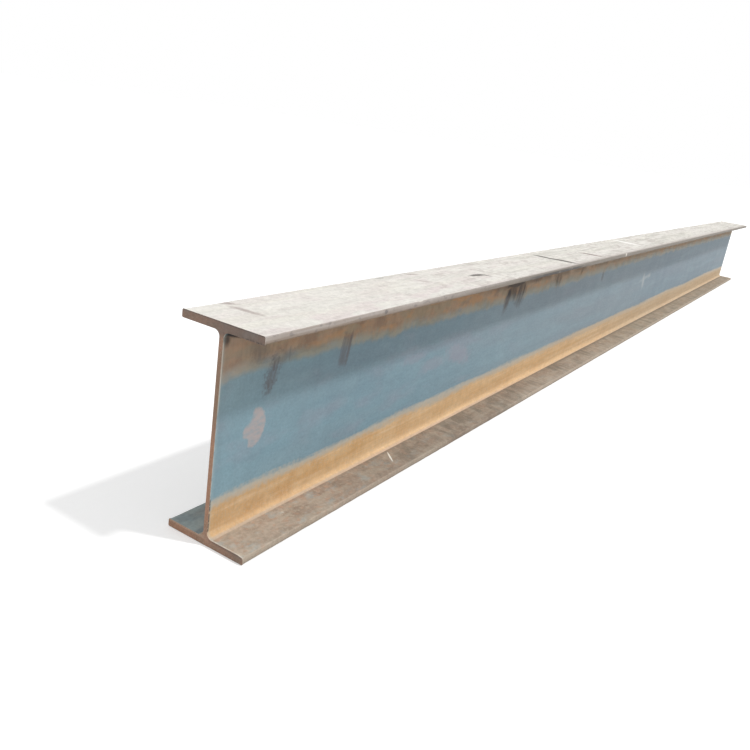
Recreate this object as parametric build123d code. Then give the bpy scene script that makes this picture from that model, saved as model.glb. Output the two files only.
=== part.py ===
from build123d import *
import os

# Hot rolled steel beam: a parallel flange I section, sawn square at both ends
# and standing on its bottom flange. All lengths are in millimetres.
# +X runs along the beam, +Y across the flanges and +Z up the web. The origin
# is under the middle of the beam, on the face that it stands on.

# Depth of the section, from the bottom flange's underside to the top face
section_depth = 456.0

# Flanges: width across both toes, and thickness, which is the same from root to toe
flange_width = 201.0
flange_thickness = 17.0

# Web between the flanges
web_thickness = 10.0

# Root: the fillet that the rolls leave where web and flange meet
root_radius = 13.0

# Toe: the eased long edges of each flange
toe_radius = 3.0

# Corners of the section: two roots and four toe corners on each flange
root_count = 4
toe_count = 8

# Length that the stock is sold in
beam_length = 6000.0


def flange(centre_height):
    """One flange, centred on the web, with its middle at the given height."""
    return Pos(0, centre_height) * Rectangle(flange_width, flange_thickness)


def web():
    """The web, from the middle of one flange to the middle of the other."""
    web_depth = section_depth - flange_thickness
    return Pos(0, section_depth / 2) * Rectangle(web_thickness, web_depth)


def distance_from_middle(corner):
    """How far a corner of the section lies from the web's middle plane."""
    return abs(corner.X)


def rolled_section():
    """The whole section, with its filleted roots and its eased toes."""
    bottom = flange(flange_thickness / 2)
    top = flange(section_depth - flange_thickness / 2)
    outline = bottom + web() + top

    # The roots are the corners nearest the middle plane, and the toes the farthest
    roots = outline.vertices().sort_by(distance_from_middle)[:root_count]
    outline = fillet(roots, root_radius)
    toes = outline.vertices().sort_by(distance_from_middle)[-toe_count:]
    return fillet(toes, toe_radius)


def beam():
    """The section drawn along the beam, half of the length each way."""
    section = Plane.YZ * rolled_section()
    return extrude(section, amount=beam_length / 2, both=True)


os.makedirs("parts", exist_ok=True)
export_step(beam(), "parts/rolled_beam.step")
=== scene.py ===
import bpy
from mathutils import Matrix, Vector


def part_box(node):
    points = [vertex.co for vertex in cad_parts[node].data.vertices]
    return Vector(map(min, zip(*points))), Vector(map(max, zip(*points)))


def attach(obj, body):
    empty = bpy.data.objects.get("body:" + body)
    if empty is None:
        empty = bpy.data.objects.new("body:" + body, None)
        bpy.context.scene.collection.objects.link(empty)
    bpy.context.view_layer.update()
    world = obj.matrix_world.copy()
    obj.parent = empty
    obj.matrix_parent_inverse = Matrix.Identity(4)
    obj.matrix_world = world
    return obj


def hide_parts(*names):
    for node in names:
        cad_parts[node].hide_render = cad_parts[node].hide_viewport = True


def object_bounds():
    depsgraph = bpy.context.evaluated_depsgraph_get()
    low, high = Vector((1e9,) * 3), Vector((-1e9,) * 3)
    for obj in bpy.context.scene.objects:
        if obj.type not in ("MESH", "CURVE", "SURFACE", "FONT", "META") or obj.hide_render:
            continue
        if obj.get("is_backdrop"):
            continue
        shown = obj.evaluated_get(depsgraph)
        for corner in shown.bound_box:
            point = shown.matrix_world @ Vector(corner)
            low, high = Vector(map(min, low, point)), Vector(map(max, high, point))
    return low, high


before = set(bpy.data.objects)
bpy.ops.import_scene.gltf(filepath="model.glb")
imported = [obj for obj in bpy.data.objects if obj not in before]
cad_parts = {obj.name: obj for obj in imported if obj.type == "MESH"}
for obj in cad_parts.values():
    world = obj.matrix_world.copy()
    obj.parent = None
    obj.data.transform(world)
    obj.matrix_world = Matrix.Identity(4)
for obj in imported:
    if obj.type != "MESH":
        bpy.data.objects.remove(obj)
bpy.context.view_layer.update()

import copy
import inspect
import math

import bmesh
import bpy
from bpy.props import FloatProperty, FloatVectorProperty, IntProperty, PointerProperty
from mathutils import Matrix, Vector

bl_info = {
    "name": "Rolled Steel Beam",
    "version": (1, 0, 0),
    "blender": (4, 5, 0),
    "location": "View3D > Sidebar > Beam",
    "description": "Makes a length of hot rolled steel beam with mill scale, rusty roots and sawn ends",
    "category": "Object",
}

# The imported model's own box, from which the overall sizes are taken
BEAM_LOW, BEAM_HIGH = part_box("rolled_beam")

# The beam lies along X, with its near end at the lowest X
NEAR_END = BEAM_LOW.x

# A length that counts as none when faces and edges are picked out by their place
HAIR = 0.00005

# How far a face's normal leans towards an axis before the face counts as facing that way
FACING, FLAT, SAWN = 0.9, 0.7, 0.4

# Rings of faces on a beam of this length: where each stretch of them ends, and how many it has
RINGED_LENGTH = 6.0
RING_STRETCHES = ((0.24, 40), (1.0, 76), (2.6, 80), (5.76, 110), (6.0, 20))

# Noise of these scales makes the edges of marks ragged
COARSE = 60.0
FINE = 150.0

# How far off its face a mark still shows
WEB_MARK_DEPTH, TOE_MARK_DEPTH, FLANGE_MARK_DEPTH = 0.006, 0.010, 0.020

# How far the damp streaks on the bottom flange slant
SLANT = math.radians(13)

# Zones that more than one finish speaks of, in metres, from where they start to where they
# are full: across for the right side, up for the top flange's cast shadow on the web, where
# shade is painted, and from the sawn end
RIGHT_SIDE = (0.004, -0.004)
SHELTER = (0.262, 0.300)
SAWN_EDGE = (0.006, 0.003)

# The camera's place, and its turns round Z, X and its own axis, fitted to the photograph,
# which is square, with a lens given for a sensor of this width
CAMERA_PLACE = (-3.96657, -0.89098, 0.82949)
CAMERA_PAN, CAMERA_TILT, CAMERA_ROLL = -1.04179, 1.24886, 0.15207
SENSOR_WIDTH = 36.0
NEAREST, FARTHEST = 0.01, 500.0

# Where the sun shines from, and the floor's gap below the beam
TOWARDS_SUN = (0.25, -0.477, 0.879)
SUN_PLACE = (0.0, -2.0, 4.0)
FLOOR_GAP = 0.0005

# The floor's grey and its glow where the camera sees it, and the colour of plain light
SEEN_FLOOR = (0.8, 0.8, 0.8)
SEEN_GLOW = 0.4
WHITE = (1.0, 1.0, 1.0, 1.0)

# Marks on the web's right side, in metres. A mark is at a place along from the near end and up
# from the face that the beam stands on, with half its length and half its height. A turn
# tilts its top towards the far end, in radians. Its edge is soft and ragged, square makes a box
# of an oval, and threads break it into lines that run up it, with gaps of a given strength.
ROUND_SPOT = (
    dict(at=(0.112, 0.223), half=(0.032, 0.042), turn=0.14, soft=0.10, ragged=0.25),
)
SPOT_NOTCHES = (
    dict(at=(0.085, 0.254), half=(0.021, 0.026), turn=0.3, soft=0.3),
    dict(at=(0.084, 0.193), half=(0.014, 0.013), soft=0.3),
)
HEAT_TINTS = (
    dict(at=(0.745, 0.250), half=(0.060, 0.014), ragged=1.2, strength=0.3),
    dict(at=(0.860, 0.214), half=(0.070, 0.018), ragged=1.2, strength=0.3),
    dict(at=(1.020, 0.214), half=(0.080, 0.026), turn=0.3, ragged=1.2, strength=0.5),
)
SMUDGES = (
    dict(at=(0.151, 0.330), half=(0.018, 0.038), turn=0.30, soft=0.5, ragged=2.4,
         threads=190.0, gaps=0.25, strength=0.7),
    dict(at=(0.158, 0.348), half=(0.012, 0.018), turn=0.2, soft=0.6, ragged=1.8,
         threads=220.0, gaps=0.4, strength=0.85),
    dict(at=(0.145, 0.308), half=(0.014, 0.013), soft=0.6, ragged=2.2, threads=200.0, gaps=0.3,
         strength=0.85),
    dict(at=(0.184, 0.356), half=(0.028, 0.010), turn=-0.38, soft=0.8, ragged=1.8, strength=0.4),
    dict(at=(0.200, 0.362), half=(0.004, 0.014), soft=0.6, strength=0.45),
    dict(at=(0.110, 0.384), half=(0.024, 0.022), soft=0.8, ragged=1.6, threads=150.0, gaps=0.3,
         strength=0.5),
    dict(at=(0.4035, 0.335), half=(0.0190, 0.037), turn=0.18, soft=0.20, ragged=0.5,
         square=0.85, threads=110.0, gaps=0.3, strength=0.68),
    dict(at=(0.4165, 0.338), half=(0.0046, 0.036), turn=0.20, ragged=0.5, strength=0.8),
    dict(at=(0.4060, 0.340), half=(0.0030, 0.030), turn=0.20, soft=0.5, strength=0.7),
    dict(at=(0.3960, 0.320), half=(0.0080, 0.020), turn=0.20, soft=0.6, ragged=1.2,
         strength=0.5),
)
# Soot, with painted shade, in the upper root near the end
ROOT_SOOT = (
    dict(at=(0.012, 0.434), half=(0.020, 0.009), soft=0.6, strength=0.9),
    dict(at=(0.010, 0.423), half=(0.009, 0.012), soft=0.7, strength=0.75),
)
DARK_RUNS = (
    dict(at=(1.372, 0.394), half=(0.090, 0.014), strength=0.9),
    dict(at=(1.322, 0.354), half=(0.020, 0.046), turn=0.38, soft=0.55, ragged=0.8),
    dict(at=(1.356, 0.374), half=(0.030, 0.030), turn=0.35, soft=0.6, ragged=0.8,
         strength=0.75),
    dict(at=(1.388, 0.370), half=(0.066, 0.040), turn=0.33, soft=0.5, ragged=0.9, threads=70.0,
         gaps=0.5, strength=0.85),
    dict(at=(1.432, 0.358), half=(0.034, 0.044), turn=0.35, soft=0.55, ragged=0.8,
         threads=90.0, gaps=0.45, strength=0.9),
    dict(at=(1.430, 0.382), half=(0.036, 0.018), soft=0.6, ragged=0.8, strength=0.65),
    dict(at=(1.560, 0.392), half=(0.090, 0.009), soft=0.7, ragged=1.0, strength=0.6),
    dict(at=(1.790, 0.374), half=(0.034, 0.032), turn=0.3, soft=0.6, ragged=1.0, threads=60.0,
         gaps=0.5, strength=0.75),
    dict(at=(2.065, 0.386), half=(0.014, 0.024), turn=0.5, strength=0.5),
    dict(at=(2.385, 0.330), half=(0.016, 0.020), strength=0.5),
)
PALE_SCRATCHES = (
    dict(at=(3.230, 0.246), half=(0.090, 0.008), turn=-0.10, soft=0.7, ragged=1.4,
         strength=0.16),
    dict(at=(3.200, 0.234), half=(0.016, 0.034), turn=-0.45, soft=0.8, ragged=1.6,
         strength=0.24),
    dict(at=(3.310, 0.252), half=(0.028, 0.010), soft=0.8, ragged=1.2, strength=0.2),
)

# Marks on the flanges, at a place along and across, less than zero on the right, with half
# their length and half their width. A turn is the angle of a mark's long axis.
TOP_STAINS = (
    dict(at=(0.104, 0.089), half=(0.020, 0.008), turn=-0.90, soft=0.8, ragged=1.2,
         strength=0.70),
    dict(at=(0.098, 0.034), half=(0.034, 0.007), turn=-1.46, soft=0.8, ragged=1.2,
         strength=0.70),
    dict(at=(0.800, 0.077), half=(0.024, 0.006), turn=-0.6, ragged=1.0, strength=0.6),
    dict(at=(0.753, 0.015), half=(0.020, 0.006), turn=-1.1, ragged=1.0, strength=0.5),
    dict(at=(2.024, -0.037), half=(0.046, 0.014), turn=-1.26, ragged=0.8),
)
TOP_SCRAPES = (
    dict(at=(0.660, 0.088), half=(0.020, 0.006), ragged=1.2, strength=0.4),
    dict(at=(1.018, -0.015), half=(0.036, 0.009), turn=-0.15, ragged=1.2, strength=0.95),
    dict(at=(1.048, -0.026), half=(0.020, 0.005), turn=-1.2, ragged=1.0, strength=0.8),
    dict(at=(1.668, 0.022), half=(0.044, 0.013), turn=-1.50, strength=0.95),
    dict(at=(1.685, -0.040), half=(0.048, 0.015), turn=-1.36),
    dict(at=(2.030, -0.030), half=(0.024, 0.006), turn=-1.26, strength=0.6),
)
TOP_PALE_BANDS = (
    dict(at=(2.750, 0.020), half=(0.022, 0.070)),
)
FLANGE_CHIPS = (
    dict(at=(0.618, -0.046), half=(0.027, 0.0026), turn=0.82, soft=0.25, ragged=0.15),
    dict(at=(0.190, -0.040), half=(0.003, 0.003), strength=0.35),
)

# Marks on the top flange's right toe, at a place along and up
TOE_NICKS = (
    dict(at=(0.394, 0.449), half=(0.006, 0.005), strength=0.6),
    dict(at=(0.520, 0.447), half=(0.008, 0.003), strength=0.4),
)
TOE_CHIPS = (
    dict(at=(2.313, 0.453), half=(0.010, 0.010), strength=0.9),
    dict(at=(0.545, 0.455), half=(0.010, 0.002), strength=0.6),
)


def length(name, description, default):
    """A property that holds a length."""
    return FloatProperty(name=name, description=description, default=default,
                         min=0.0, precision=4, unit="LENGTH")


def tone(name, description, *screen):
    """A property that holds a colour, given from 0 to 255 as a screen shows it."""
    linear = [((part / 255 + 0.055) / 1.055) ** 2.4 for part in screen]
    return FloatVectorProperty(name=name, description=description, default=linear,
                               size=3, min=0.0, max=1.0, subtype="COLOR")


class BeamSizes(bpy.types.PropertyGroup):
    """Sizes of the rolled section and of the length it is cut to."""

    beam_length: length("Length", "Length from sawn end to sawn end", BEAM_HIGH.x - BEAM_LOW.x)
    section_depth: length("Depth", "Depth over both flanges", BEAM_HIGH.z - BEAM_LOW.z)
    flange_width: length("Flange width", "Width over the toes", BEAM_HIGH.y - BEAM_LOW.y)
    flange_thickness: length("Flange thickness", "Thickness of each flange", 0.017)
    web_thickness: length("Web thickness", "Thickness of the web", 0.010)
    root_radius: length("Root radius", "Fillet between web and flange", 0.013)
    toe_radius: length("Toe radius", "Rounding of the flanges' long edges", 0.003)


class BeamSurface(bpy.types.PropertyGroup):
    """Relief that rolling, scale, knocks and the saw leave on the steel, and levels of rust."""

    saw_chamfer: length("Saw chamfer", "Worn edge round each sawn end", 0.0007)
    plate_wave: length("Plate wave", "Depth of the long waves left by rolling", 0.0009)
    wave_span: length("Wave span", "Size of the long waves", 0.35)
    scale_relief: length("Scale relief", "Depth of the patches where scale came off", 0.0003)
    scale_span: length("Scale span", "Size of the patches where scale came off", 0.045)
    dent_depth: length("Dent depth", "Depth of the dents in the flanges' toes", 0.0011)
    dent_span: length("Dent span", "Size of the dents in the flanges' toes", 0.028)
    corner_drop: length("Corner drop", "How far down the near corner is knocked", 0.0016)
    corner_push: length("Corner push", "How far in the near corner is knocked", 0.0007)
    corner_span: length("Corner span", "How far round the corner the knock reaches", 0.010)
    upper_rust_level: length("Upper rust level", "Where the brown rust starts", 0.366)
    fringe_level: length("Fringe level", "Where the olive fringe starts", 0.346)
    lower_rust_level: length("Lower rust level", "Where the pale rust ends", 0.101)
    thick_rust_level: length("Thick rust level", "Where the ochre rust ends", 0.083)
    face_pitch: length("Face pitch", "Width of the mesh faces across the section", 0.012)
    root_steps: IntProperty(name="Root steps", description="Faces round each root fillet",
                            default=7, min=2, max=16)
    toe_steps: IntProperty(name="Toe steps", description="Faces round each eased toe",
                           default=3, min=1, max=8)


class BeamColours(bpy.types.PropertyGroup):
    """Colours of the scale, the rust and the dust."""

    scale_blue: tone("Scale", "Mill scale on the web", 125, 157, 170)
    scale_grey: tone("Dusty scale", "Mill scale with dust on it", 127, 143, 153)
    scale_violet: tone("Violet scale", "Heat tint in the scale", 150, 146, 160)
    # This colour also paints shade: in the top flange's shadow on the web, and on the bottom flange's
    # left side next to the web
    scale_deep: tone("Deep scale", "Scale where less dust lies", 84, 110, 128)
    scale_teal: tone("Teal scale", "Greener scale near the sawn end", 142, 170, 180)
    root_ochre: tone("Root rust", "Powdery rust low on the web", 216, 180, 133)
    root_pale: tone("Pale root rust", "Thin dry rust at the band's edge", 196, 184, 164)
    root_deep: tone("Deep root rust", "Thicker rust in the lower band", 206, 162, 108)
    # This colour also paints a highlight on the lower root's fillet
    root_light: tone("Root dust", "Light dust in the hollow of the lower root", 236, 206, 168)
    # This colour also paints a highlight on the bottom flange's sawn rim
    root_foot: tone("Root foot", "Pinkish dust where root meets flange", 206, 182, 160)
    upper_brown: tone("Upper rust", "Rust under the top flange", 184, 154, 128)
    upper_deep: tone("Deep upper rust", "Thicker rust under the top flange", 156, 128, 108)
    upper_moss: tone("Dark fringe", "Darkest patches of the upper fringe", 130, 127, 108)
    upper_orange: tone("Orange rust", "Fresh rust under the top flange", 200, 152, 108)
    upper_olive: tone("Upper fringe", "Thin rust below the upper band", 160, 151, 128)
    flange_brown: tone("Flange rust", "Rust on the bottom flange", 166, 145, 128)
    flange_dust: tone("Flange dust", "Dust on the bottom flange", 190, 176, 158)
    flange_dark: tone("Flange stain", "Damp stains on the bottom flange", 116, 108, 96)
    flange_rose: tone("Flange flecks", "Fresh rust on the bottom flange", 180, 148, 126)
    flange_scale: tone("Flange scale", "Scale on the bottom flange's left side", 160, 178, 180)
    top_dust: tone("Top dust", "Dry dust on the top face", 229, 226, 219)
    top_grey: tone("Top scale", "Scale that shows through the dust", 205, 203, 194)
    top_rose: tone("Top rust", "Faint rust in the dust", 221, 211, 208)
    top_straw: tone("Top straw", "Yellowish dust", 230, 227, 216)
    top_white: tone("Top white", "White scuff on the top face", 250, 248, 243)
    top_stain: tone("Top stains", "Dusky stains on the top face", 158, 141, 137)
    top_scrape: tone("Top scrapes", "Scraped and stained marks on the top face", 106, 102, 97)
    toe_grey: tone("Toe scale", "Scale on the flange toes", 186, 177, 171)
    toe_brown: tone("Toe rust", "Rust on the flange toes", 140, 122, 106)
    toe_dull: tone("Dull toe", "Greyer toe farther along the beam", 136, 129, 120)
    saw_brown: tone("Saw face rust", "Rust on the sawn faces", 174, 134, 112)
    saw_rose: tone("Saw face, web", "Redder rust on the web's sawn edge", 196, 146, 118)
    saw_dark: tone("Saw face, top", "Film on the top flange's sawn end", 120, 108, 102)
    saw_grey: tone("Saw face steel", "Bare steel on the sawn faces", 150, 140, 132)
    stain_dark: tone("Smudge", "Dark smudges and runs", 92, 88, 92)
    # This colour also paints shade under the top flange's toe and along the web's sawn edge
    run_black: tone("Dark runs", "Damp runs under the top flange", 68, 65, 63)
    # This colour also paints the deep shade in the upper root at the end
    soot_black: tone("Soot", "Soot in the upper root at the end", 38, 37, 37)
    spot_rose: tone("Pink spot", "Round pink spot on the web", 184, 168, 164)
    # This colour also paints highlights along the sawn edges
    chip_white: tone("Pale chip", "Small pale chips and scratches", 235, 230, 218)


class StageSettings(bpy.types.PropertyGroup):
    """Floor, light and camera."""

    sky_strength: FloatProperty(name="Sky", description="Even light from all round",
                                default=0.60, min=0.0)
    sun_strength: FloatProperty(name="Sun", description="Soft sun from the camera's side",
                                default=1.80, min=0.0)
    sun_softness: FloatProperty(name="Sun softness", description="Angle that the sun fills",
                                default=math.radians(4.5), min=0.0, subtype="ANGLE")
    floor_size: length("Floor", "Width of the floor", 120.0)
    floor_colour: tone("Floor colour", "Colour of the floor as the beam sees it", 205, 203, 200)
    focal_length: FloatProperty(name="Lens", description="Focal length in millimetres",
                                default=36.23, min=1.0)


class Wire:
    """What comes out of a node. Wires can be added, taken away and multiplied, and two masks
    joined by | are one."""

    def __init__(self, socket):
        self.socket = socket
        self.tree = socket.id_data

    def __add__(self, other):
        return calculate("ADD", self, other)

    def __sub__(self, other):
        return calculate("SUBTRACT", self, other)

    def __rsub__(self, other):
        return calculate("SUBTRACT", other, self)

    def __mul__(self, other):
        return calculate("MULTIPLY", self, other)

    def __or__(self, other):
        return calculate("MAXIMUM", self, other)

    def __abs__(self):
        return calculate("ABSOLUTE", self)


def add_node(tree, kind, **options):
    """Adds a node, sets its options and puts it in the next free place."""
    rows, column_width, row_height = 7, 220, 230
    count = len(tree.nodes)
    node = tree.nodes.new(kind)
    node.location = (count // rows * column_width, -(count % rows) * row_height)
    for name, option in options.items():
        setattr(node, name, option)
    return node


def find_socket(sockets, key):
    """A socket by its identifier, or else by its name or its place in the row."""
    for socket in sockets:
        if socket.identifier == key:
            return socket
    return sockets[key]


def feed(socket, value):
    """Links a socket to a wire, or writes a plain value on it."""
    if isinstance(value, Wire):
        value.tree.links.new(value.socket, socket)
    elif socket.type == "RGBA" and len(value) == 3:
        socket.default_value = (*value, 1.0)
    else:
        socket.default_value = value


def put(kind, given, result, **options):
    """Adds a node beside those that its wires come from, feeds its inputs, in a row or by
    name, and gives back one of its outputs."""
    values = dict(given.items() if isinstance(given, dict) else enumerate(given))
    tree = next(value.tree for value in values.values() if isinstance(value, Wire))
    node = add_node(tree, kind, **options)
    for key, value in values.items():
        feed(find_socket(node.inputs, key), value)
    return Wire(find_socket(node.outputs, result))


def calculate(operation, *values):
    """One step of arithmetic."""
    return put("ShaderNodeMath", values, "Value", operation=operation)


def vector_step(operation, *values):
    """One step of arithmetic on vectors."""
    result = "Value" if operation == "LENGTH" else "Vector"
    return put("ShaderNodeVectorMath", values, result, operation=operation)


def mix(amount, first, second, mode="MIX"):
    """The first colour turning into the second by the amount."""
    return put("ShaderNodeMix", {"Factor_Float": amount, "A_Color": first, "B_Color": second},
               "Result_Color", data_type="RGBA", blend_type=mode)


def mix_values(amount, first, second):
    """The first value turning into the second by the amount."""
    return put("ShaderNodeMix", {"Factor_Float": amount, "A_Float": first, "B_Float": second},
               "Result_Float", data_type="FLOAT")


def ramp(value, start, end, low=0.0, high=1.0):
    """A smooth step from low to high as the value goes from start to end."""
    return put("ShaderNodeMapRange", (value, start, end, low, high), "Result",
               interpolation_type="SMOOTHSTEP")


def noise(vector, scale, detail=3.0, roughness=0.5):
    """Soft noise of the given scale."""
    return put("ShaderNodeTexNoise", {"Vector": vector, "Scale": scale, "Detail": detail,
                                      "Roughness": roughness}, "Fac")


def stretched_noise(vector, stretch, detail=4.0):
    """Soft noise with its own number of waves in a metre each way."""
    return noise(vector_step("MULTIPLY", vector, stretch), 1.0, detail)


def split(vector):
    """The three parts of a vector."""
    node = add_node(vector.tree, "ShaderNodeSeparateXYZ")
    feed(node.inputs["Vector"], vector)
    return [Wire(part) for part in node.outputs]


def join(*parts):
    """A vector of three parts."""
    return put("ShaderNodeCombineXYZ", parts, "Vector")


def make_group(title, result, build):
    """A shader node group of a function, whose parameters and defaults are its inputs."""
    tree = bpy.data.node_groups.new(title, "ShaderNodeTree")
    parameters = inspect.signature(build).parameters.values()
    for parameter in parameters:
        size = len(parameter.default) if isinstance(parameter.default, tuple) else 1
        kind = {1: "NodeSocketFloat", 3: "NodeSocketVector", 4: "NodeSocketColor"}[size]
        socket = tree.interface.new_socket(name=parameter.name, in_out="INPUT", socket_type=kind)
        socket.default_value = parameter.default
    kind = "NodeSocketColor" if result == "Color" else "NodeSocketFloat"
    tree.interface.new_socket(name=result, in_out="OUTPUT", socket_type=kind)
    start = add_node(tree, "NodeGroupInput")
    given = [Wire(start.outputs[parameter.name]) for parameter in parameters]
    end = add_node(tree, "NodeGroupOutput")
    feed(end.inputs[result], build(*given))
    return tree


def shared(result):
    """Turns a function of wires into a shader node group that is built once, with one output
    of the given name. Each call then puts the group beside the wires it is given."""
    def share(build):
        title = build.__name__.replace("_", " ")
        names = list(inspect.signature(build).parameters)

        def place(*given, **named):
            tree = bpy.data.node_groups.get(title) or make_group(title, result, build)
            return put("ShaderNodeGroup", {**dict(zip(names, given)), **named}, result,
                       node_tree=tree)

        return place

    return share


@shared("Mask")
def stain(vector=(0, 0, 0), stretch=(1, 1, 1), start=0.4, end=0.6, detail=3.0):
    """Patches or streaks: noise that can be stretched, cut to a mask between two levels."""
    return ramp(stretched_noise(vector, stretch, detail), start, end)


@shared("Mask")
def band(height=0.0, level=0.1, soft=0.01, ragged=0.02, wobble=0.5):
    """A band's edge: a mask that is 1 above a level, with an edge that noise makes ragged."""
    return ramp((wobble - 0.5) * ragged + height, level - soft, level + soft)


@shared("Mask")
def mark(vector=(0, 0, 0), centre=(0, 0, 0), half_size=(1, 1, 1), turn=(0, 0, 0), wobble=0.5,
         soft=0.4, ragged=0.5, square=0.0, threads=90.0, gaps=0.0):
    """One mark: an oval or a box of any length and turn, with a ragged edge. Threads break
    it into lines that run up it."""
    turned = put("ShaderNodeVectorRotate", {"Vector": vector, "Center": centre,
                                            "Rotation": turn}, "Vector",
                 rotation_type="EULER_XYZ")
    from_centre = vector_step("SUBTRACT", turned, centre)
    shares = vector_step("DIVIDE", from_centre, half_size)
    along, across, up = split(vector_step("ABSOLUTE", shares))
    distance = mix_values(square, vector_step("LENGTH", shares), along | across | up)
    mask = ramp((wobble - 0.5) * ragged + distance, 1.0 - soft, soft + 1.0, 1.0, 0.0)
    drawn_up = vector_step("MULTIPLY", from_centre, (1.0, 1.0, 0.08))
    return mask * (1.0 - ramp(noise(drawn_up, threads), 0.56, 0.44) * gaps)


@shared("Color")
def rust(vector=(0, 0, 0), pale=(0.7, 0.5, 0.3, 1), middle=(0.5, 0.3, 0.15, 1),
         deep=(0.3, 0.15, 0.07, 1), patch=12.0, grain=260.0):
    """Rust of three tones, mottled in patches and in fine grains."""
    patches = ramp(noise(vector, patch, 6.0, 0.6), 0.40, 0.66)
    grains = ramp(noise(vector, grain), 0.45, 0.7)
    return mix(grains * 0.45, mix(patches, middle, deep), pale)


@shared("Color")
def mottle(colour=(0.5, 0.5, 0.5, 1), vector=(0, 0, 0), scale=40.0, amount=0.3):
    """Unevenness of every size: a colour made lighter and darker by noise."""
    brightness = (noise(vector, scale, 8.0, 0.72) - 0.5) * amount + 1.0
    return mix(1.0, colour, brightness, "MULTIPLY")


@shared("Height")
def steel_grain(vector=(0, 0, 0), grain=0.5, flakes=0.3, pits=0.3):
    """Relief of scale or rust: fine grain, shallow flakes and a few pits, as a height."""
    fine = noise(vector, 700.0, 3.0, 0.6)
    flaked = ramp(noise(vector, 60.0, 5.0, 0.55), 0.46, 0.54)
    cells = put("ShaderNodeTexVoronoi", {"Vector": vector, "Scale": 110.0}, "Distance",
                feature="SMOOTH_F1")
    return fine * grain + flaked * flakes + ramp(cells, 0.0, 0.22) * pits


@shared("Mask")
def end_wear(vector=(0, 0, 0), half_length=3.0, reach=0.003):
    """Worn edges with a painted highlight on them: a mask that rises towards the sawn ends."""
    along = split(vector)[0]
    worn = ramp(noise(vector, 90.0, 4.0), 0.35, 0.6)
    return ramp(half_length - abs(along), 0.0, reach, 1.0, 0.0) * worn


class Coat:
    """A material as it is laid on the steel: where a point lies, and the colour so far."""

    def __init__(self, title, scene):
        self.sizes = scene.beam_sizes
        self.surface = scene.beam_surface
        self.tones = scene.beam_colours
        self.material = bpy.data.materials.new(title)
        self.material.use_nodes = True
        tree = self.material.node_tree
        self.shader = tree.nodes["Principled BSDF"].inputs
        self.colour = None

        # The measures: run from the near end, across and up as they are, aside from the web's
        # middle to either side, and from the nearer end
        self.places = Wire(add_node(tree, "ShaderNodeTexCoord").outputs["Object"])
        along, self.across, self.up = split(self.places)
        self.run = along - NEAR_END
        self.aside = abs(self.across)
        self.from_end = self.sizes.beam_length / 2 - abs(along)

    def tone(self, given):
        """A tone by its name among the colours, or another coat's colour."""
        return getattr(self.tones, given) if isinstance(given, str) else given.colour

    def start(self, given):
        """Starts the colour with one tone."""
        self.colour = self.tone(given)

    def start_rust(self, pale, middle, deep, patch, grain, places=None):
        """Starts the colour as rust of three tones."""
        tones = [self.tone(given) for given in (pale, middle, deep)]
        self.colour = rust(places or self.places, *tones, patch, grain)

    def another(self, given=None):
        """A coat on the same places that is laid over this one when its colour is done."""
        other = copy.copy(self)
        other.colour = given and self.tone(given)
        return other

    def where(self, *masks, **zones):
        """A mask where all the given masks and zones meet. A zone is named after the measure
        that it goes by, such as run or up, and says where its smooth step starts and ends, and
        from what to what it goes if that isn't from 0 to 1. One measure can have several."""
        parts = list(masks)
        for measure, steps in zones.items():
            for step in steps if isinstance(steps[0], tuple) else (steps,):
                parts.append(ramp(getattr(self, measure), *step))
        mask = parts[0]
        for part in parts[1:]:
            mask = mask * part
        return mask

    def lay(self, given, strength, *masks, **zones):
        """Lays a tone over the colour so far, of the given strength where masks and zones
        meet."""
        mask = self.where(*masks, **zones)
        amount = mask if strength == 1 else mask * strength
        self.colour = mix(amount, self.colour, self.tone(given))

    def mottle(self, scale, amount, places=None):
        """Makes the colour so far uneven."""
        self.colour = mottle(self.colour, places or self.places, scale, amount)

    def lengthened(self, span):
        """Places on which patches grow longer along the beam, twice as long at the span."""
        grown = calculate("LOGARITHM", (self.run | 0.0) * (1 / span) + 1.0, math.e)
        return join(grown * span, self.across, self.up)

    def marks(self, marks, wobble, depth, across=None, level=None):
        """Marks as one mask, the strongest at each point. They lie in an upright plane at a
        place across, or in a flat one at a level, and reach to the given depth."""
        mask = 0.0
        for look in marks:
            look = dict(look)
            along, second = look.pop("at")
            half_long, half_second = look.pop("half")
            turn = -look.pop("turn", 0.0)
            strength = look.pop("strength", 1.0)
            if level is None:
                centre = (NEAR_END + along, across, second)
                half_size, turn = (half_long, depth, half_second), (0.0, turn, 0.0)
            else:
                centre = (NEAR_END + along, second, level)
                half_size, turn = (half_long, half_second, depth), (0.0, 0.0, turn)
            one = mark(self.places, centre, half_size, turn, wobble, **look)
            mask = one * strength | mask
        return mask

    def close(self, roughness, grain, flakes, pits, depth, more=None):
        """Gives the shader the colour, a roughness and a relief of the given depth."""
        height = steel_grain(self.places, grain, flakes, pits)
        if more:
            height = height + more
        normal = put("ShaderNodeBump", {"Height": height, "Strength": 1.0, "Distance": depth},
                     "Normal")
        feed(self.shader["Base Color"], self.colour)
        feed(self.shader["Roughness"], roughness)
        feed(self.shader["Normal"], normal)


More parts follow.
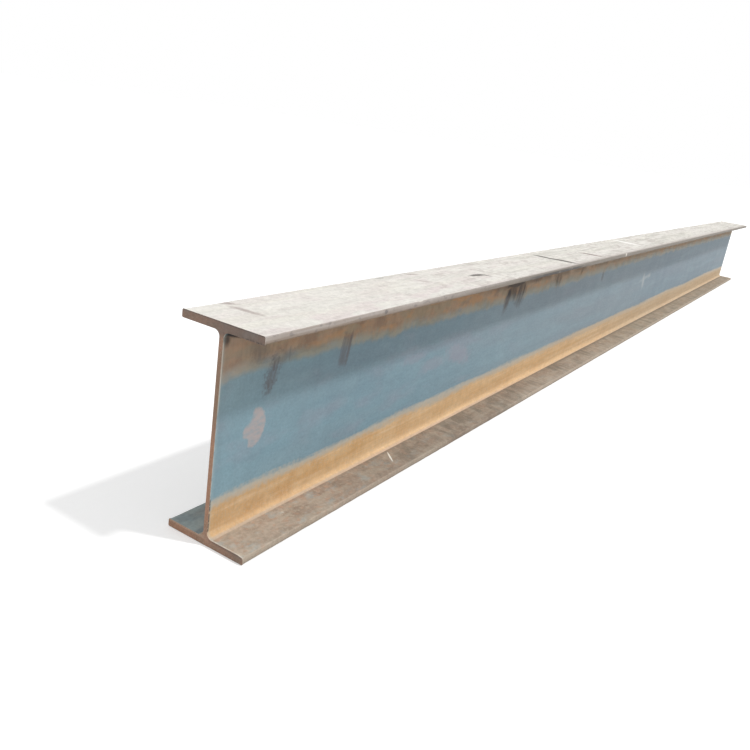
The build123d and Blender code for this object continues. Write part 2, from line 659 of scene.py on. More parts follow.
def lay_scale(coat):
    """Mill scale on the web: blue near the end, greyer along the beam, with faint lines."""
    drawn_out = coat.lengthened(0.7)
    clouds = stain(drawn_out, (3, 40, 9), 0.36, 0.66)
    coat.start("scale_blue")
    coat.lay("scale_grey", 1, clouds * 0.3 + ramp(coat.run, 0.2, 2.2, 0.0, 0.75))

    # Darker a little way in and far along, and painted shade where the top flange's shadow falls on the
    # web
    coat.lay("scale_deep", 0.16, run=((0.15, 0.5), (1.4, 0.8)))
    coat.lay("scale_deep", 0.22, run=(0.15, 0.5), up=SHELTER)
    coat.lay("scale_deep", 0.3, run=(2.8, 3.6))
    # Teal scale near the sawn end, with painted light that lifts the shade under the top flange there
    coat.lay("scale_teal", 1, run=(0.14, 0.02), up=(*SHELTER, 0.20, 0.55))

    # Heat tints, drawn lines and the scale's own unevenness
    tint = stain(drawn_out, (9, 40, 14), 0.50, 0.70, 5.0)
    coat.lay("scale_violet", 1, tint, run=(1.1, 1.6, 0.28, 0.10))
    coat.lay("scale_teal", 0.16, stain(drawn_out, (16, 40, 24), 0.52, 0.68, 5.0))
    drawn = stain(coat.places, (24, 40, 2.5), 0.42, 0.75)
    coat.lay("stain_dark", 0.08, drawn, run=(0.9, 0.2))
    coat.lay("scale_deep", 0.12, stain(drawn_out, (4, 40, 55), 0.45, 0.75, 6.0))
    coat.mottle(30.0, 0.28, drawn_out)
    coat.mottle(190.0, 0.60, drawn_out)


def lay_upper_rust(coat):
    """Brown rust under the top flange, with an olive fringe. Gives where the brown is."""
    places, run = coat.places, coat.run
    waves = stretched_noise(places, (9, 40, 6))
    teeth = stretched_noise(places, (60, 40, 22))
    edge = mix_values(0.4, waves, teeth)
    edge = mix_values(ramp(run, 0.15, 0.5, 0.4, 1.0), 0.5, edge)
    height = coat.up + ramp(run, 0.2, 0.6, 0.0, 0.008) - ramp(run, 1.2, 3.3, 0.0, 0.018)
    height = height + ramp(run, 0.07, 0.0, 0.0, 0.008)
    fringe = band(height, coat.surface.fringe_level, 0.008, 0.055, edge)
    brown = band(height, coat.surface.upper_rust_level, 0.014, 0.07, edge)

    thick = coat.another()
    thick.start_rust("upper_olive", "upper_brown", "upper_deep", 17.0, 180.0)
    thick.lay("upper_olive", 0.5, stain(places, (11, 40, 30), 0.48, 0.60, 6.0))
    orange = stain(places, (10, 40, 34), 0.46, 0.60, 6.0)
    thick.lay("upper_orange", 1, orange, run=(0.15, 0.35, 0.18, 0.63))
    brushed = stain(places, (120, 40, 10), 0.46, 0.72, 4.0)
    thick.lay("stain_dark", 1, brushed, run=(0.12, 0.24, 0.18, 0.03))
    thick.lay("flange_dust", 0.42, run=(0.8, 2.4))
    thick.lay("spot_rose", 0.14, run=(0.16, 0.02))
    thick.mottle(60.0, 0.45)

    thin = coat.another("upper_olive")
    thin.lay("upper_moss", 0.7, stain(places, (16, 40, 40), 0.46, 0.62, 5.0))
    thin.lay("root_foot", 0.5, run=(0.14, 0.02))
    thin.mottle(90.0, 0.42)
    worn = stain(places, (22, 40, 34), 0.30, 0.55, 6.0)
    coat.lay(thin, 1, fringe, worn * 0.3 + 0.48)
    coat.lay(thick, 0.92, brown)
    return brown


def lay_lower_rust(coat):
    """Powdery ochre up from the lower root, pale where it thins out, in lengthwise lines.
    Gives where the rust is thick."""
    run, drawn_out = coat.run, coat.lengthened(0.8)
    lengthwise = stretched_noise(drawn_out, (9, 40, 70), 6.0)
    feather = stretched_noise(drawn_out, (110, 40, 110), 6.0)
    edge = mix_values(0.42, lengthwise, feather)
    drift = stretched_noise(coat.places, (1.6, 40, 1), 1.0)
    height = coat.up - drift * 0.02 + ramp(run, 0.0, 1.2, 0.013, 0.006)
    height = height + ramp(run, 0.14, 0.0, 0.0, 0.004) + ramp(run, 2.6, 3.3, 0.0, 0.005)
    thin = 1.0 - band(height, coat.surface.lower_rust_level, 0.007, 0.034, edge)
    fuller = height - ramp(run, 0.9, 0.2, 0.0, 0.004)
    thick = 1.0 - band(fuller, coat.surface.thick_rust_level, 0.010, 0.046, edge)

    ochre = coat.another()
    ochre.start_rust("root_pale", "root_ochre", "root_deep", 16.0, 240.0, drawn_out)
    ochre.lay("root_deep", 0.55, stain(drawn_out, (4, 40, 110), 0.44, 0.66, 4.0))
    ochre.lay("root_light", 0.32, stain(drawn_out, (5, 40, 130), 0.50, 0.70, 4.0))
    level = drift * 0.012 + coat.up
    dark_line = ramp(level, 0.050, 0.058) * ramp(level, 0.070, 0.061)
    ochre.lay("root_deep", 1, dark_line, run=(0.6, 1.6, 0.15, 0.6))
    ochre.lay("upper_brown", 0.14, run=(0.5, 0.1))
    ochre.lay("root_light", 0.22, run=((0.4, 0.8), (3.2, 2.6)))
    ochre.lay("root_pale", 0.55, run=(1.6, 3.6))

    # Light dust and a painted highlight lie in the hollow of the root, and turn pinkish where they meet
    # the flange
    ochre.lay("root_light", 1, up=(0.046, 0.021),
              run=((0.0, 0.3, 0.14, 0.30), (3.0, 1.5, 0.2, 1.0)))
    foot = coat.another("root_foot")
    foot.lay("flange_dust", 0.75, run=(0.7, 0.1))
    ochre.lay(foot, 1, aside=(0.0085, 0.0145), run=(1.2, 1.7, 0.9, 0.35))
    ochre.mottle(90.0, 0.5, drawn_out)
    ochre.mottle(210.0, 0.35, vector_step("MULTIPLY", drawn_out, (1.0, 1.0, 0.10)))

    fringe = coat.another("root_pale")
    fringe.lay("root_ochre", 0.5, run=(1.2, 2.4))
    fringe.mottle(90.0, 0.4)
    coat.lay(fringe, 0.78, thin)
    coat.lay(ochre, 1, thick)
    return thick


def lay_web_marks(coat):
    """The round spot, the smudges, the runs, painted shade under the toe, soot with painted shade in
    the upper root, and the scratches on the right side.
    """
    places, coarse, fine = coat.places, noise(coat.places, COARSE), noise(coat.places, FINE)
    plane = dict(across=-coat.sizes.web_thickness / 2, depth=WEB_MARK_DEPTH)
    coat.lay("scale_violet", 1, coat.marks(HEAT_TINTS, coarse, **plane))
    spot = coat.marks(ROUND_SPOT, fine, **plane) - coat.marks(SPOT_NOTCHES, fine, **plane)
    worn = stain(places, (60, 40, 110), 0.3, 0.6, 5.0)
    coat.lay("spot_rose", 1, spot, worn * 0.4 + 0.4)
    coat.lay("stain_dark", 1, coat.marks(SMUDGES, fine, **plane))

    # Painted shade: a dark line on the web just below the top flange's toe
    under_toe = coat.where(stain(places, (9, 40, 5), 0.36, 0.52, 5.0), up=(0.374, 0.392),
                           run=((1.0, 1.3), (2.9, 2.3, 0.5, 1.0)), across=RIGHT_SIDE)
    coat.lay("run_black", 1, coat.marks(DARK_RUNS, coarse, **plane) | under_toe * 0.42)
    # Black in the upper root near the end: soot, and painted shade under the top flange
    wedge = ramp(coat.run * 0.24 + coat.up, 0.4283, 0.4340)
    soot = coat.where(wedge, run=(0.060, 0.040), across=RIGHT_SIDE)
    coat.lay("soot_black", 1, soot | coat.marks(ROOT_SOOT, coarse, **plane))
    coat.lay("chip_white", 1, coat.marks(PALE_SCRATCHES, fine, **plane))


def lay_web(coat):
    """Mill scale on the web, with a band of rust along each root."""
    places = coat.places
    lay_scale(coat)
    brown = lay_upper_rust(coat)
    ochre = lay_lower_rust(coat)
    lay_web_marks(coat)

    # Bare steel where the sawn edge has been knocked, and a painted highlight along it, most of all
    # below the top flange
    ends = end_wear(places, coat.sizes.beam_length / 2, 0.005)
    coat.lay("chip_white", 1, ends, up=(0.25, 0.36, 0.45, 1.0))
    coat.lay("flange_scale", 0.30, from_end=(0.012, 0.004))
    coat.lay("chip_white", 0.6, up=((0.270, 0.310), (0.425, 0.410)), from_end=SAWN_EDGE)
    # Painted shadow of a burr: a dark ragged line low on the web's sawn edge
    dirt = stain(places, (60, 40, 130), 0.40, 0.54)
    coat.lay("run_black", 0.8, dirt, up=((0.021, 0.034), (0.114, 0.094)), from_end=SAWN_EDGE)

    rusty = ochre | brown
    sheen = stretched_noise(places, (12, 40, 6)) * 0.16 + 0.44
    crust = noise(places, 420.0, 4.0, 0.65)
    coat.shader["Specular IOR Level"].default_value = 0.4
    coat.close(mix_values(rusty, sheen, 0.85), grain=0.35, flakes=0.35, pits=0.15,
               depth=0.0002, more=rusty * crust * 1.6)


def lay_bottom_flange(coat):
    """Brown rust and dust on the bottom flange's upper side and toes."""
    places, run = coat.places, coat.run
    toe, top = coat.sizes.flange_width / 2, coat.sizes.flange_thickness
    near = ramp(run, 0.3, 1.2, 1.0, 0.35)
    away = ramp(run, 0.35, 0.8)
    coat.start_rust("flange_dust", "flange_brown", "toe_brown", 26.0, 150.0)
    coat.lay("flange_dust", 0.55, stain(places, (10, 40, 20), 0.42, 0.66, 6.0))
    coat.lay("flange_dust", 0.4, run=(0.3, 0.02))
    blue = stain(places, (24, 40, 24), 0.49, 0.66, 6.0)
    coat.lay("flange_scale", 0.38, blue, near, aside=(toe - 0.001, toe - 0.006))
    coat.lay("flange_rose", 0.75, near, stain(places, (50, 74, 50), 0.52, 0.68, 6.0))

    # Damp lies in short streaks across the flange
    slanted = put("ShaderNodeVectorRotate", {"Vector": places, "Angle": SLANT}, "Vector",
                  rotation_type="Z_AXIS")
    damp = stain(places, (6, 16, 9), 0.34, 0.58, 5.0)
    coat.lay("flange_dark", 0.70, damp, away, stain(slanted, (34, 11, 14), 0.42, 0.64, 7.0))
    coat.lay("flange_dust", 0.30, away, stain(slanted, (38, 14, 22), 0.54, 0.64, 6.0))
    # Darker across the flange a little way along, and farther along only towards the web
    inner_half = ramp(coat.aside, 0.085, 0.050, 0.1, 1.0)
    inner_half = mix_values(ramp(run, 1.2, 1.5), 1.0, inner_half)
    coat.lay("flange_dark", 0.32, inner_half, run=((0.15, 0.6), (2.6, 1.5)))
    coat.lay("upper_olive", 0.28, run=(1.8, 3.0))

    # A brown line beside the root, and the toe's lighter edge
    lined = ramp(run, 0.2, 0.7, 0.1, 0.4) + ramp(run, 1.5, 2.1, 0.0, 0.35)
    coat.lay("flange_dark", 1, lined, aside=(0.030, 0.019))
    coat.lay("flange_dark", 0.42, aside=(0.042, 0.024), run=(1.5, 2.1))
    coat.lay("root_foot", 1, aside=(0.0200, 0.0175),
             run=((0.1, 0.7, 0.2, 0.7), (1.1, 1.6, 1.0, 0.0)))
    toe_dust = ramp(run, 0.9, 0.7, 0.0, 0.4) + ramp(run, 1.2, 1.5, 0.0, 0.5)
    coat.lay("flange_dust", 1, toe_dust, aside=(toe - 0.006, toe - 0.001))
    coat.lay("flange_dust", 0.3, aside=(0.050, 0.085), run=((1.2, 1.5), (3.2, 2.2)))
    # Darker towards the bottom of the bottom flange's toes
    coat.lay("flange_dark", 0.4, up=(top * 0.6, 0.0))

    # Scale still shows on the left side near the end
    left = coat.another("flange_scale")
    left.lay("scale_deep", 0.42, stain(places, (14, 60, 8), 0.40, 0.68, 5.0))
    browner = stain(places, (12, 26, 8), 0.40, 0.60, 5.0)
    left.lay("flange_brown", 0.55, browner, run=(0.02, 0.10))
    # Painted shade on the left side next to the web
    left.lay("scale_deep", 0.45, aside=(0.034, 0.016))
    coat.lay(left, 0.85, run=(0.30, 0.10), across=(0.0, 0.01), aside=(toe, toe - 0.004))
    # Paler along the right of the sawn end's upper edge: wear, and a painted highlight
    worn = stain(places, (60, 60, 60), 0.30, 0.56, 4.0)
    coat.lay("chip_white", 0.45, worn, from_end=(0.006, 0.002), across=(0.0, -0.02),
             up=(top - 0.006, top - 0.003))
    coat.mottle(110.0, 0.85)
    chips = coat.marks(FLANGE_CHIPS, noise(places, COARSE), FLANGE_MARK_DEPTH, level=top)
    coat.lay("chip_white", 1, chips)
    coat.close(damp * -0.15 + 0.85, grain=0.8, flakes=0.6, pits=0.4, depth=0.0003,
               more=chips * 3.0)


def lay_top_flange_inside(coat):
    """Brown rust under the top flange, with scale showing through."""
    coat.start_rust("upper_olive", "upper_brown", "upper_deep", 10.0, 160.0)
    bare = stain(coat.places, (3, 14, 5), 0.52, 0.66, 5.0)
    coat.lay("scale_grey", 0.6, bare)
    coat.mottle(50.0, 0.5)
    coat.close(bare * -0.3 + 0.85, grain=0.8, flakes=0.6, pits=0.3, depth=0.0003)


def lay_top(coat):
    """Dry dust on the top face, drawn out in streaks, with a few marks across it."""
    places = coat.places
    coat.start("top_dust")

    # Pinkish towards the right toe, yellowish farther in
    rosy = stain(places, (9, 26, 1), 0.42, 0.60, 7.0)
    coat.lay("top_rose", 1, rosy, across=(0.0, -0.05, 0.45, 0.85), run=(0.8, 2.0, 1.0, 0.35))
    coat.lay("top_straw", 0.5, stain(places, (3, 34, 1), 0.46, 0.66, 5.0))

    # Streaks, fine streaks, blotches and marks across, stronger along the beam
    stronger = coat.where(run=((0.3, 1.2, 0.35, 1.0), (1.6, 2.6, 1.0, 1.35)))
    streaks = stain(places, (3.5, 60, 1), 0.45, 0.68, 6.0)
    coat.lay("top_grey", 0.75, stronger, streaks)
    coat.lay("toe_grey", 0.40, stronger, stain(places, (12, 150, 1), 0.50, 0.70, 4.0))
    coat.lay("toe_grey", 0.45, stronger, stain(places, (20, 34, 1), 0.55, 0.66, 6.0))
    coat.lay("toe_grey", 0.40, stronger, stain(places, (45, 5, 1), 0.60, 0.72, 4.0))

    # Thinner dust along the right toe, more of it along the beam
    coat.lay("toe_grey", 0.4, across=(-0.050, -0.088), run=(0.8, 2.2))
    strip = coat.where(across=(-0.086, -0.095), run=(0.6, 1.7))
    coat.lay("toe_grey", 0.8, strip)
    coat.lay("toe_dull", 0.25, strip, run=(1.5, 2.1))
    coat.mottle(26.0, 0.30)
    coat.mottle(120.0, 0.72, coat.lengthened(1.0))

    coarse, fine = noise(places, COARSE), noise(places, FINE)
    plane = dict(level=coat.sizes.section_depth, depth=FLANGE_MARK_DEPTH)
    coat.lay("top_stain", 1, coat.marks(TOP_STAINS, fine, **plane))
    scrapes = coat.marks(TOP_SCRAPES, fine, **plane)
    coat.lay("top_scrape", 1, scrapes)
    coat.lay("top_white", 1, coat.marks(TOP_PALE_BANDS, coarse, **plane))
    coat.shader["Specular IOR Level"].default_value = 0.3
    coat.close(streaks * -0.1 + 0.85, grain=0.5, flakes=0.5, pits=0.3, depth=0.0002,
               more=streaks * 0.5 - scrapes)


def lay_toes(coat):
    """Grey scale on the top flange's long edges, browner low down and along the beam."""
    places, top = coat.places, coat.sizes.section_depth
    coat.start("toe_grey")
    coat.lay("toe_brown", 1, up=(top - 0.004, top - coat.sizes.flange_thickness))
    lengthwise = stain(places, (5, 10, 200), 0.40, 0.68, 5.0)
    coat.lay("toe_brown", 0.4, lengthwise)
    coat.lay("stain_dark", 0.35, stain(places, (45, 10, 90), 0.56, 0.66, 5.0))
    coat.lay("toe_dull", 0.90, run=(0.3, 1.4))
    coat.lay("run_black", 0.9, stain(places, (14, 10, 40), 0.30, 0.5, 4.0),
             run=((1.1, 1.35), (1.9, 1.6)), up=(top - 0.004, top - 0.009), across=(0.0, -0.05))
    coat.mottle(60.0, 0.5)

    plane = dict(across=-coat.sizes.flange_width / 2, depth=TOE_MARK_DEPTH)
    coarse = noise(places, COARSE)
    coat.lay("stain_dark", 1, coat.marks(TOE_NICKS, coarse, **plane))
    coat.lay("chip_white", 1, coat.marks(TOE_CHIPS, coarse, **plane))
    # Paler toe ends at the sawn faces: wear, and a painted highlight
    coat.lay("chip_white", 0.4, end_wear(places, coat.sizes.beam_length / 2, 0.004))
    coat.close(lengthwise * 0.15 + 0.6, grain=0.6, flakes=0.6, pits=0.4, depth=0.0003,
               more=lengthwise * 0.8)


def lay_underside(coat):
    """Rust and scale on the face that the beam stands on."""
    coat.start_rust("flange_dust", "flange_brown", "upper_deep", 9.0, 140.0)
    bare = stain(coat.places, (2.5, 12, 1), 0.5, 0.66, 5.0)
    coat.lay("scale_grey", 0.75, bare)
    coat.mottle(40.0, 0.5)
    coat.close(bare * -0.3 + 0.85, grain=0.8, flakes=0.7, pits=0.4, depth=0.0003)


def lay_sawn_faces(coat):
    """Steel that the saw cut, with fine marks of the blade and a film of rust."""
    places, across, top = coat.places, coat.across, coat.sizes.section_depth
    coat.start_rust("flange_dust", "saw_brown", "upper_deep", 30.0, 320.0)
    bare = stain(places, (1, 30, 30), 0.5, 0.7, 4.0)
    coat.lay("saw_grey", 1, bare, up=(0.24, 0.40, 0.15, 0.8))

    # The web's end: redder low down, darker above its middle
    coat.lay("saw_rose", 0.45, up=((0.03, 0.06), (0.27, 0.20)))
    coat.lay("upper_deep", 0.95, up=((0.22, 0.29), (0.39, 0.36)))

    # The top flange's end, with a burr below it and a dark rim above
    coat.lay("saw_dark", 1, up=(0.420, 0.438), across=(0.05, -0.03, 0.48, 0.78))
    coat.lay("saw_rose", 0.5, up=(0.03, 0.018), across=(0.0, 0.04))
    coat.lay("run_black", 0.6, stain(places, (1, 170, 170), 0.38, 0.58),
             up=((0.4445, 0.4405), (0.430, 0.438)), across=(-0.03, -0.07))
    coat.lay("run_black", 0.4, up=(top - 0.0035, top - 0.0010))

    # The bottom flange's end: a painted highlight on the left of its upper rim, and the rim dark on the
    # right
    upper_rim = coat.where(up=((0.0120, 0.0150), (0.024, 0.018)))
    coat.lay("root_foot", 0.5, upper_rim, across=(-0.015, 0.015))
    coat.lay("run_black", 0.45, upper_rim, across=(0.0, -0.03))
    coat.lay("saw_dark", 0.35, up=(0.028, 0.016), across=(0.0, -0.09))

    # The blade's marks run across the section in a very wide arc
    arc = across * across * 1.4 + coat.up
    blade = noise(join(0.0, across * 0.02, arc), 520.0, 3.0, 0.7)
    coat.lay("upper_deep", 0.42, ramp(blade, 0.5, 0.8))
    coat.mottle(130.0, 0.85)
    coat.close(bare * -0.2 + 0.75, grain=0.3, flakes=0.2, pits=0.2, depth=0.0003, more=blade)


# The beam's finishes, in the order of its material slots
FINISHES = {"web scale": lay_web, "bottom flange rust": lay_bottom_flange,
            "top flange underside rust": lay_top_flange_inside, "top face dust": lay_top,
            "toe scale": lay_toes, "underside rust": lay_underside,
            "sawn steel": lay_sawn_faces}


def pick(kind, piece, test):
    """Selects the vertices, edges or faces that pass a test, and no others, in edit mode."""
    bpy.ops.mesh.select_mode(type=kind)
    bpy.ops.mesh.select_all(action="DESELECT")
    mesh = bmesh.from_edit_mesh(piece.data)
    for part in {"VERT": mesh.verts, "EDGE": mesh.edges, "FACE": mesh.faces}[kind]:
        part.select_set(test(part))
    mesh.select_flush_mode()
    bmesh.update_edit_mesh(piece.data)


def cut(point, normal):
    """Cuts the whole mesh along a plane, in edit mode."""
    bpy.ops.mesh.select_all(action="SELECT")
    bpy.ops.mesh.bisect(plane_co=point, plane_no=normal)


def same(first, second):
    """Whether two lengths are alike."""
    return abs(first - second) < HAIR


def runs_along(edge):
    """Whether an edge lies along the beam."""
    first, second = (vertex.co for vertex in edge.verts)
    return same(first.y, second.y) and same(first.z, second.z)


class BEAM_OT_stock(bpy.types.Operator):
    """Make the beam: web, flanges, roots, toes and sawn ends, with its finishes"""

    bl_idname = "beam.stock"
    bl_label = "Rolled Beam"
    bl_options = {"REGISTER", "UNDO"}

    def execute(self, context):
        sizes = context.scene.beam_sizes
        surface = context.scene.beam_surface
        piece = self.web(sizes)
        bpy.ops.object.mode_set(mode="EDIT")
        self.flanges(piece, sizes)
        self.roots_and_toes(piece, sizes, surface)
        self.sawn_edges(piece, sizes, surface)
        self.rows(sizes, surface)
        self.rings(piece, sizes)
        self.knocked_corner(piece, sizes, surface)
        bpy.ops.object.mode_set(mode="OBJECT")
        self.relief(piece, sizes, surface)
        self.finish(piece, context.scene)
        bpy.ops.object.select_all(action="DESELECT")
        piece.select_set(True)
        bpy.ops.object.shade_smooth_by_angle(angle=math.radians(35))
        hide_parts("rolled_beam")
        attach(piece, "root")
        return {"FINISHED"}

    def web(self, sizes):
        """The web as a plate of the section's full depth."""
        bpy.ops.object.select_all(action="DESELECT")
        bpy.ops.mesh.primitive_cube_add(
            size=1, location=(0, 0, sizes.section_depth / 2),
            scale=(sizes.beam_length, sizes.web_thickness, sizes.section_depth))
        piece = bpy.context.active_object
        piece.name = "rolled_stock"
        bpy.ops.object.transform_apply(location=True, rotation=True, scale=True)
        return piece

    def flanges(self, piece, sizes):
        """Both flanges, drawn out of the plate's two edges."""
        low = sizes.flange_thickness
        high = sizes.section_depth - sizes.flange_thickness
        overhang = (sizes.flange_width - sizes.web_thickness) / 2
        cut((0, 0, low), (0, 0, 1))
        cut((0, 0, high), (0, 0, 1))
        for side in (-1, 1):
            pick("FACE", piece, lambda face: face.normal.y * side > FACING and not (
                low < face.calc_center_median().z < high))
            bpy.ops.mesh.extrude_region_move(
                TRANSFORM_OT_translate={"value": (0, side * overhang, 0)})
        for side in (-1, 1):
            pick("FACE", piece, lambda face: face.normal.x * side > FACING)
            bpy.ops.mesh.dissolve_faces()

    def roots_and_toes(self, piece, sizes, surface):
        """The fillets that the rolls leave, and the eased long edges."""
        inner_faces = (sizes.flange_thickness, sizes.section_depth - sizes.flange_thickness)

        def is_root(edge):
            place = edge.verts[0].co
            return (runs_along(edge) and same(abs(place.y), sizes.web_thickness / 2)
                    and any(same(place.z, height) for height in inner_faces))

        def is_toe(edge):
            return runs_along(edge) and same(abs(edge.verts[0].co.y), sizes.flange_width / 2)

        for test, radius, steps in ((is_root, sizes.root_radius, surface.root_steps),
                                    (is_toe, sizes.toe_radius, surface.toe_steps)):
            pick("EDGE", piece, test)
            bpy.ops.mesh.bevel(offset=radius, segments=steps, affect="EDGES")

    def sawn_edges(self, piece, sizes, surface):
        """A narrow worn edge round both sawn faces."""
        half = sizes.beam_length / 2
        for side in (-1, 1):
            pick("FACE", piece, lambda face: face.normal.x * side > FACING)
            bpy.ops.mesh.inset(thickness=surface.saw_chamfer)
            bpy.ops.transform.translate(value=(side * surface.saw_chamfer, 0, 0))
        bpy.ops.mesh.select_all(action="SELECT")
        shrink = half / (half + surface.saw_chamfer)
        bpy.ops.transform.resize(value=(shrink, 1, 1), center_override=(0, 0, 0))

    def rows(self, sizes, surface):
        """Rows of faces along the beam, so that the plates can take relief."""
        bottom = sizes.flange_thickness + sizes.root_radius
        inside = sizes.section_depth - 2 * bottom
        count = round(inside / surface.face_pitch)
        for step in range(1, count):
            cut((0, 0, bottom + inside * step / count), (0, 0, 1))
        start = sizes.web_thickness / 2 + sizes.root_radius
        flat = sizes.flange_width / 2 - sizes.toe_radius - start
        count = round(flat / surface.face_pitch)
        for side in (-1, 1):
            for step in range(1, count):
                cut((0, side * (start + flat * step / count), 0), (0, 1, 0))

    def rings(self, piece, sizes):
        """Rings of faces round the beam, closest at the ends and in the foreground."""
        half = sizes.beam_length / 2
        ends = [end * sizes.beam_length / RINGED_LENGTH - half for end, count in RING_STRETCHES]
        for end in ends[:-1]:
            cut((end, 0, 0), (1, 0, 0))
        for low, high, (end, count) in zip([-half, *ends], ends, RING_STRETCHES):
            pick("EDGE", piece, lambda edge: runs_along(edge) and (
                low < sum(vertex.co.x for vertex in edge.verts) / 2 < high))
            bpy.ops.mesh.subdivide(number_cuts=count - 1)

    def knocked_corner(self, piece, sizes, surface):
        """The bottom flange's right toe, knocked round at the near end."""
        corner = Vector((NEAR_END, -sizes.flange_width / 2, sizes.flange_thickness))
        pick("VERT", piece, lambda vertex: vertex.co.z < sizes.toe_radius + HAIR)
        bpy.ops.mesh.hide()
        pick("VERT", piece,
             lambda vertex: (vertex.co - corner).length < 1.5 * sizes.toe_radius)
        bpy.ops.transform.translate(
            value=(0.0, surface.corner_push, -surface.corner_drop), use_proportional_edit=True,
            proportional_edit_falloff="SMOOTH", proportional_size=surface.corner_span)
        bpy.ops.mesh.reveal(select=False)

    def relief(self, piece, sizes, surface):
        """Long waves from rolling, shallow patches where scale came off, and dents in the
        flanges' toes. All go inwards only, so that the beam keeps its size."""
        plates = piece.vertex_groups.new(name="plates")
        toes = piece.vertex_groups.new(name="toes")
        for vertex in piece.data.vertices:
            if abs(vertex.co.x) > sizes.beam_length / 2 - 2 * surface.saw_chamfer:
                continue
            plates.add([vertex.index], 1.0, "REPLACE")
            if abs(vertex.co.y) > sizes.flange_width / 2 - sizes.toe_radius - HAIR:
                toes.add([vertex.index], 1.0, "REPLACE")
        for name, group, span, depth in (
                ("long waves", "plates", surface.wave_span, surface.plate_wave),
                ("scale patches", "plates", surface.scale_span, surface.scale_relief),
                ("dented toes", "toes", surface.dent_span, surface.dent_depth)):
            pattern = bpy.data.textures.new(name, "CLOUDS")
            pattern.noise_scale = span
            pattern.noise_basis = "BLENDER_ORIGINAL"
            modifier = piece.modifiers.new(name, "DISPLACE")
            modifier.texture = pattern
            modifier.texture_coords = "LOCAL"
            modifier.vertex_group = group
            modifier.mid_level = 1.0
            modifier.strength = depth
            bpy.ops.object.modifier_apply(modifier=name)

    def finish(self, piece, scene):
        """Gives each face of the beam the finish of its place."""
        sizes = scene.beam_sizes
        for title, lay in FINISHES.items():
            coat = Coat(title, scene)
            lay(coat)
            piece.data.materials.append(coat.material)
        web, bottom, inside, top, toe, under, sawn = range(len(FINISHES))
        toe_start = sizes.flange_width / 2 - sizes.toe_radius
        root_end = sizes.web_thickness / 2 + sizes.root_radius
        for face in piece.data.polygons:
            aside, height, facing = abs(face.center.y), face.center.z, face.normal
            upper = height > sizes.section_depth / 2
            face.material_index = (
                sawn if abs(facing.x) > SAWN
                else (toe if upper else bottom) if aside > toe_start
                else top if upper and facing.z > FLAT
                else under if height < sizes.flange_thickness / 2 and facing.z < -FLAT
                else (inside if upper else bottom) if aside > root_end
                else web)


def seen_directly(tree):
    """Where the camera looks itself, and not the light that falls on the beam."""
    rays = add_node(tree, "ShaderNodeLightPath").outputs
    camera, glossy, through = (
        Wire(rays[kind]) for kind in ("Is Camera Ray", "Is Glossy Ray", "Is Transmission Ray"))
    return camera | glossy | through


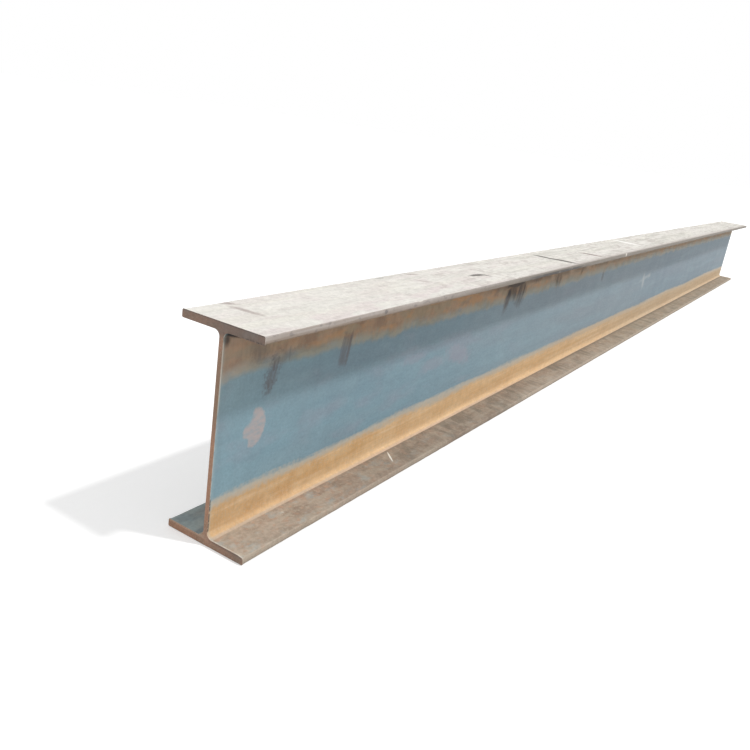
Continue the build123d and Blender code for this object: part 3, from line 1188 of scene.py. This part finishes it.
class BEAM_OT_stage(bpy.types.Operator):
    """Make the pale floor, the light and the camera"""

    bl_idname = "beam.stage"
    bl_label = "Stage"
    bl_options = {"REGISTER", "UNDO"}

    def execute(self, context):
        settings = context.scene.beam_stage
        self.floor(settings)
        self.world(context.scene, settings)
        self.sun(settings)
        self.camera(context.scene, settings)
        context.scene.view_settings.view_transform = "Standard"
        return {"FINISHED"}

    def floor(self, settings):
        """A wide pale floor that the camera sees as white, with the beam's shadow on it."""
        bpy.ops.object.select_all(action="DESELECT")
        bpy.ops.mesh.primitive_plane_add(size=settings.floor_size, location=(0, 0, -FLOOR_GAP))
        floor = bpy.context.active_object
        floor.name = "floor"
        material = bpy.data.materials.new("pale floor")
        material.use_nodes = True
        seen = seen_directly(material.node_tree)
        shader = material.node_tree.nodes["Principled BSDF"].inputs
        for name, value in (("Roughness", 0.9), ("Specular IOR Level", 0.1),
                            ("Base Color", mix(seen, settings.floor_colour, SEEN_FLOOR)),
                            ("Emission Color", WHITE), ("Emission Strength", seen * SEEN_GLOW)):
            feed(shader[name], value)
        floor.data.materials.append(material)
        floor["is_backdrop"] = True

    def world(self, scene, settings):
        """Even light from all round, seen as white."""
        world = bpy.data.worlds.new("studio")
        scene.world = world
        world.use_nodes = True
        background = world.node_tree.nodes["Background"].inputs
        seen = seen_directly(world.node_tree)
        feed(background["Color"], WHITE)
        feed(background["Strength"], mix_values(seen, settings.sky_strength, 1.0))

    def sun(self, settings):
        """One soft sun, high on the camera's side and a little from the far end."""
        bpy.ops.object.light_add(type="SUN", location=SUN_PLACE)
        sun = bpy.context.active_object
        sun.name = "soft_sun"
        sun.rotation_euler = Vector(TOWARDS_SUN).to_track_quat("Z", "Y").to_euler()
        sun.data.energy = settings.sun_strength
        sun.data.angle = settings.sun_softness

    def camera(self, scene, settings):
        """The photograph's view of the beam's near end."""
        bpy.ops.object.camera_add(location=CAMERA_PLACE)
        camera = bpy.context.active_object
        camera.name = "photo_camera"
        turn = (Matrix.Rotation(CAMERA_PAN, 3, "Z") @ Matrix.Rotation(CAMERA_TILT, 3, "X")
                @ Matrix.Rotation(CAMERA_ROLL, 3, "Z"))
        camera.rotation_euler = turn.to_euler()
        camera.data.sensor_width = SENSOR_WIDTH
        camera.data.lens = settings.focal_length
        camera.data.clip_start = NEAREST
        camera.data.clip_end = FARTHEST
        scene.camera = camera


class BEAM_PT_panel(bpy.types.Panel):
    """Sizes, colours and steps of the beam"""

    bl_idname = "BEAM_PT_panel"
    bl_label = "Rolled Steel Beam"
    bl_space_type = "VIEW_3D"
    bl_region_type = "UI"
    bl_category = "Beam"

    def draw(self, context):
        scene = context.scene
        for title, settings, step in (("Sizes", scene.beam_sizes, None),
                                      ("Surface", scene.beam_surface, None),
                                      ("Colours", scene.beam_colours, BEAM_OT_stock),
                                      ("Stage", scene.beam_stage, BEAM_OT_stage)):
            box = self.layout.box()
            box.label(text=title)
            for name in settings.__annotations__:
                box.prop(settings, name)
            if step:
                box.operator(step.bl_idname)


SETTINGS = {"beam_sizes": BeamSizes, "beam_surface": BeamSurface, "beam_colours": BeamColours,
            "beam_stage": StageSettings}
CLASSES = (*SETTINGS.values(), BEAM_OT_stock, BEAM_OT_stage, BEAM_PT_panel)


def register():
    for each in CLASSES:
        bpy.utils.register_class(each)
    for name, kind in SETTINGS.items():
        setattr(bpy.types.Scene, name, PointerProperty(type=kind))


def unregister():
    for name in SETTINGS:
        delattr(bpy.types.Scene, name)
    for each in reversed(CLASSES):
        bpy.utils.unregister_class(each)


def main():
    """Makes the beam and its stage, and takes the box round what the scene shows."""
    register()
    bpy.ops.beam.stock()
    bpy.ops.beam.stage()
    low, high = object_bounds()


if __name__ == "__main__":
    main()
